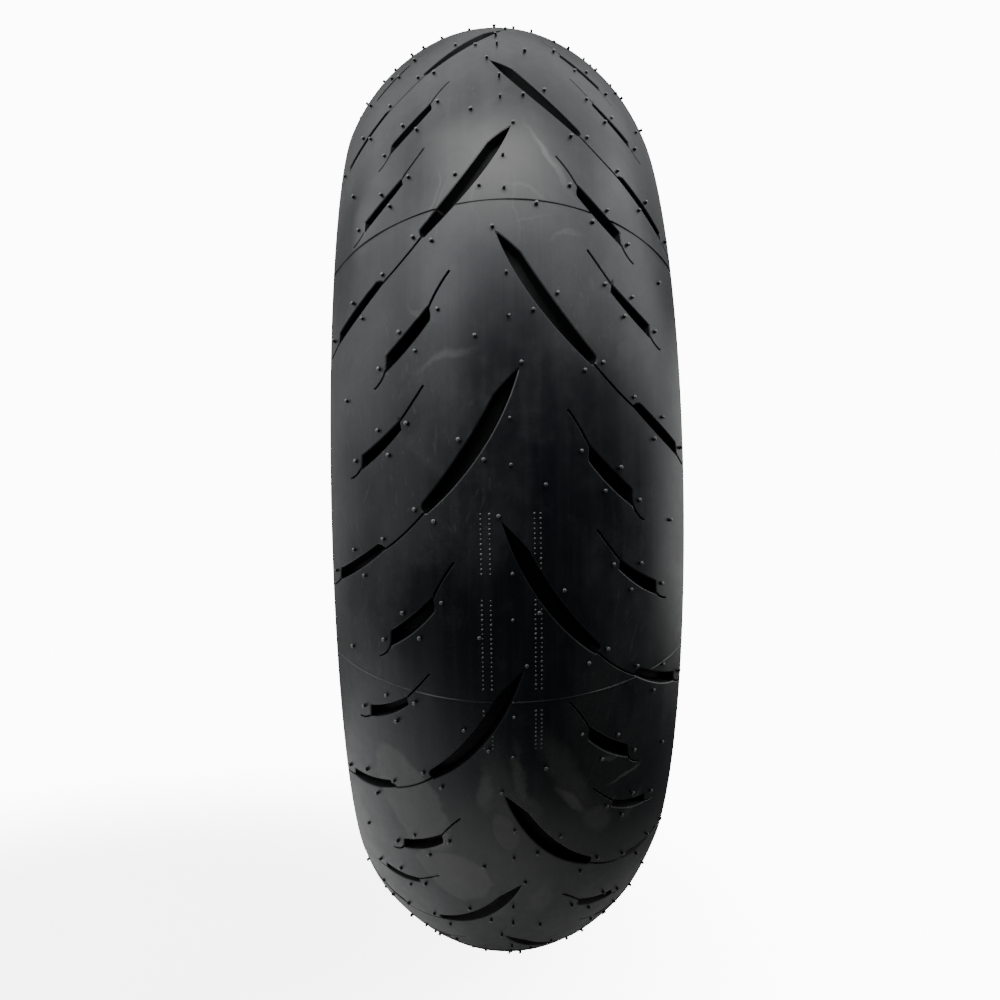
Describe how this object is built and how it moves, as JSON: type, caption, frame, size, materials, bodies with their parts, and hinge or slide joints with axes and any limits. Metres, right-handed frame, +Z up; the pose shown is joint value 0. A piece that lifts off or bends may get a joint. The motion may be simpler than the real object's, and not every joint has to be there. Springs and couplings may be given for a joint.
{
  "type": "motorcycle tyre",
  "caption": "Rear sport motorcycle tyre: grooved round-profile tread over belts, plies and liner, with a wire bead on each side that seats on a 17 inch rim.",
  "frame": {"origin": "wheel centre: the tyre's spin axis at the middle of its width", "axes": "+Y along the spin axis towards the side called right, +Z up, +X towards the viewer of the tread"},
  "size_m": [0.634, 0.1792, 0.634],
  "materials": {
    "tread_rubber": "satin",
    "shoulder_rubber": "satin",
    "side_rubber": "matt",
    "inner_rubber": "satin",
    "rubberised_cord": "matt",
    "bead_steel": "drawn wire"
  },
  "bodies": {
    "root": {"tread_centre": "tread_rubber", "tread_shoulder_left": "shoulder_rubber", "tread_shoulder_right": "shoulder_rubber", "vent_spews": "tread_rubber", "tread_base": "inner_rubber", "jointless_belt": "rubberised_cord", "breaker_ply": "rubberised_cord", "carcass_ply_outer": "rubberised_cord", "carcass_ply_inner": "rubberised_cord", "inner_liner": "inner_rubber", "belt_edge_cushion_left": "inner_rubber", "belt_edge_cushion_right": "inner_rubber", "sidewall_left": "side_rubber", "sidewall_right": "side_rubber", "rim_cushion_left": "side_rubber", "rim_cushion_right": "side_rubber", "chafer_left": "rubberised_cord", "chafer_right": "rubberised_cord", "apex_left": "inner_rubber", "apex_right": "inner_rubber", "bead_wrap_left": "inner_rubber", "bead_wrap_right": "inner_rubber", "bead_wires_left": "bead_steel", "bead_wires_right": "bead_steel"}
  },
  "joints": []
}
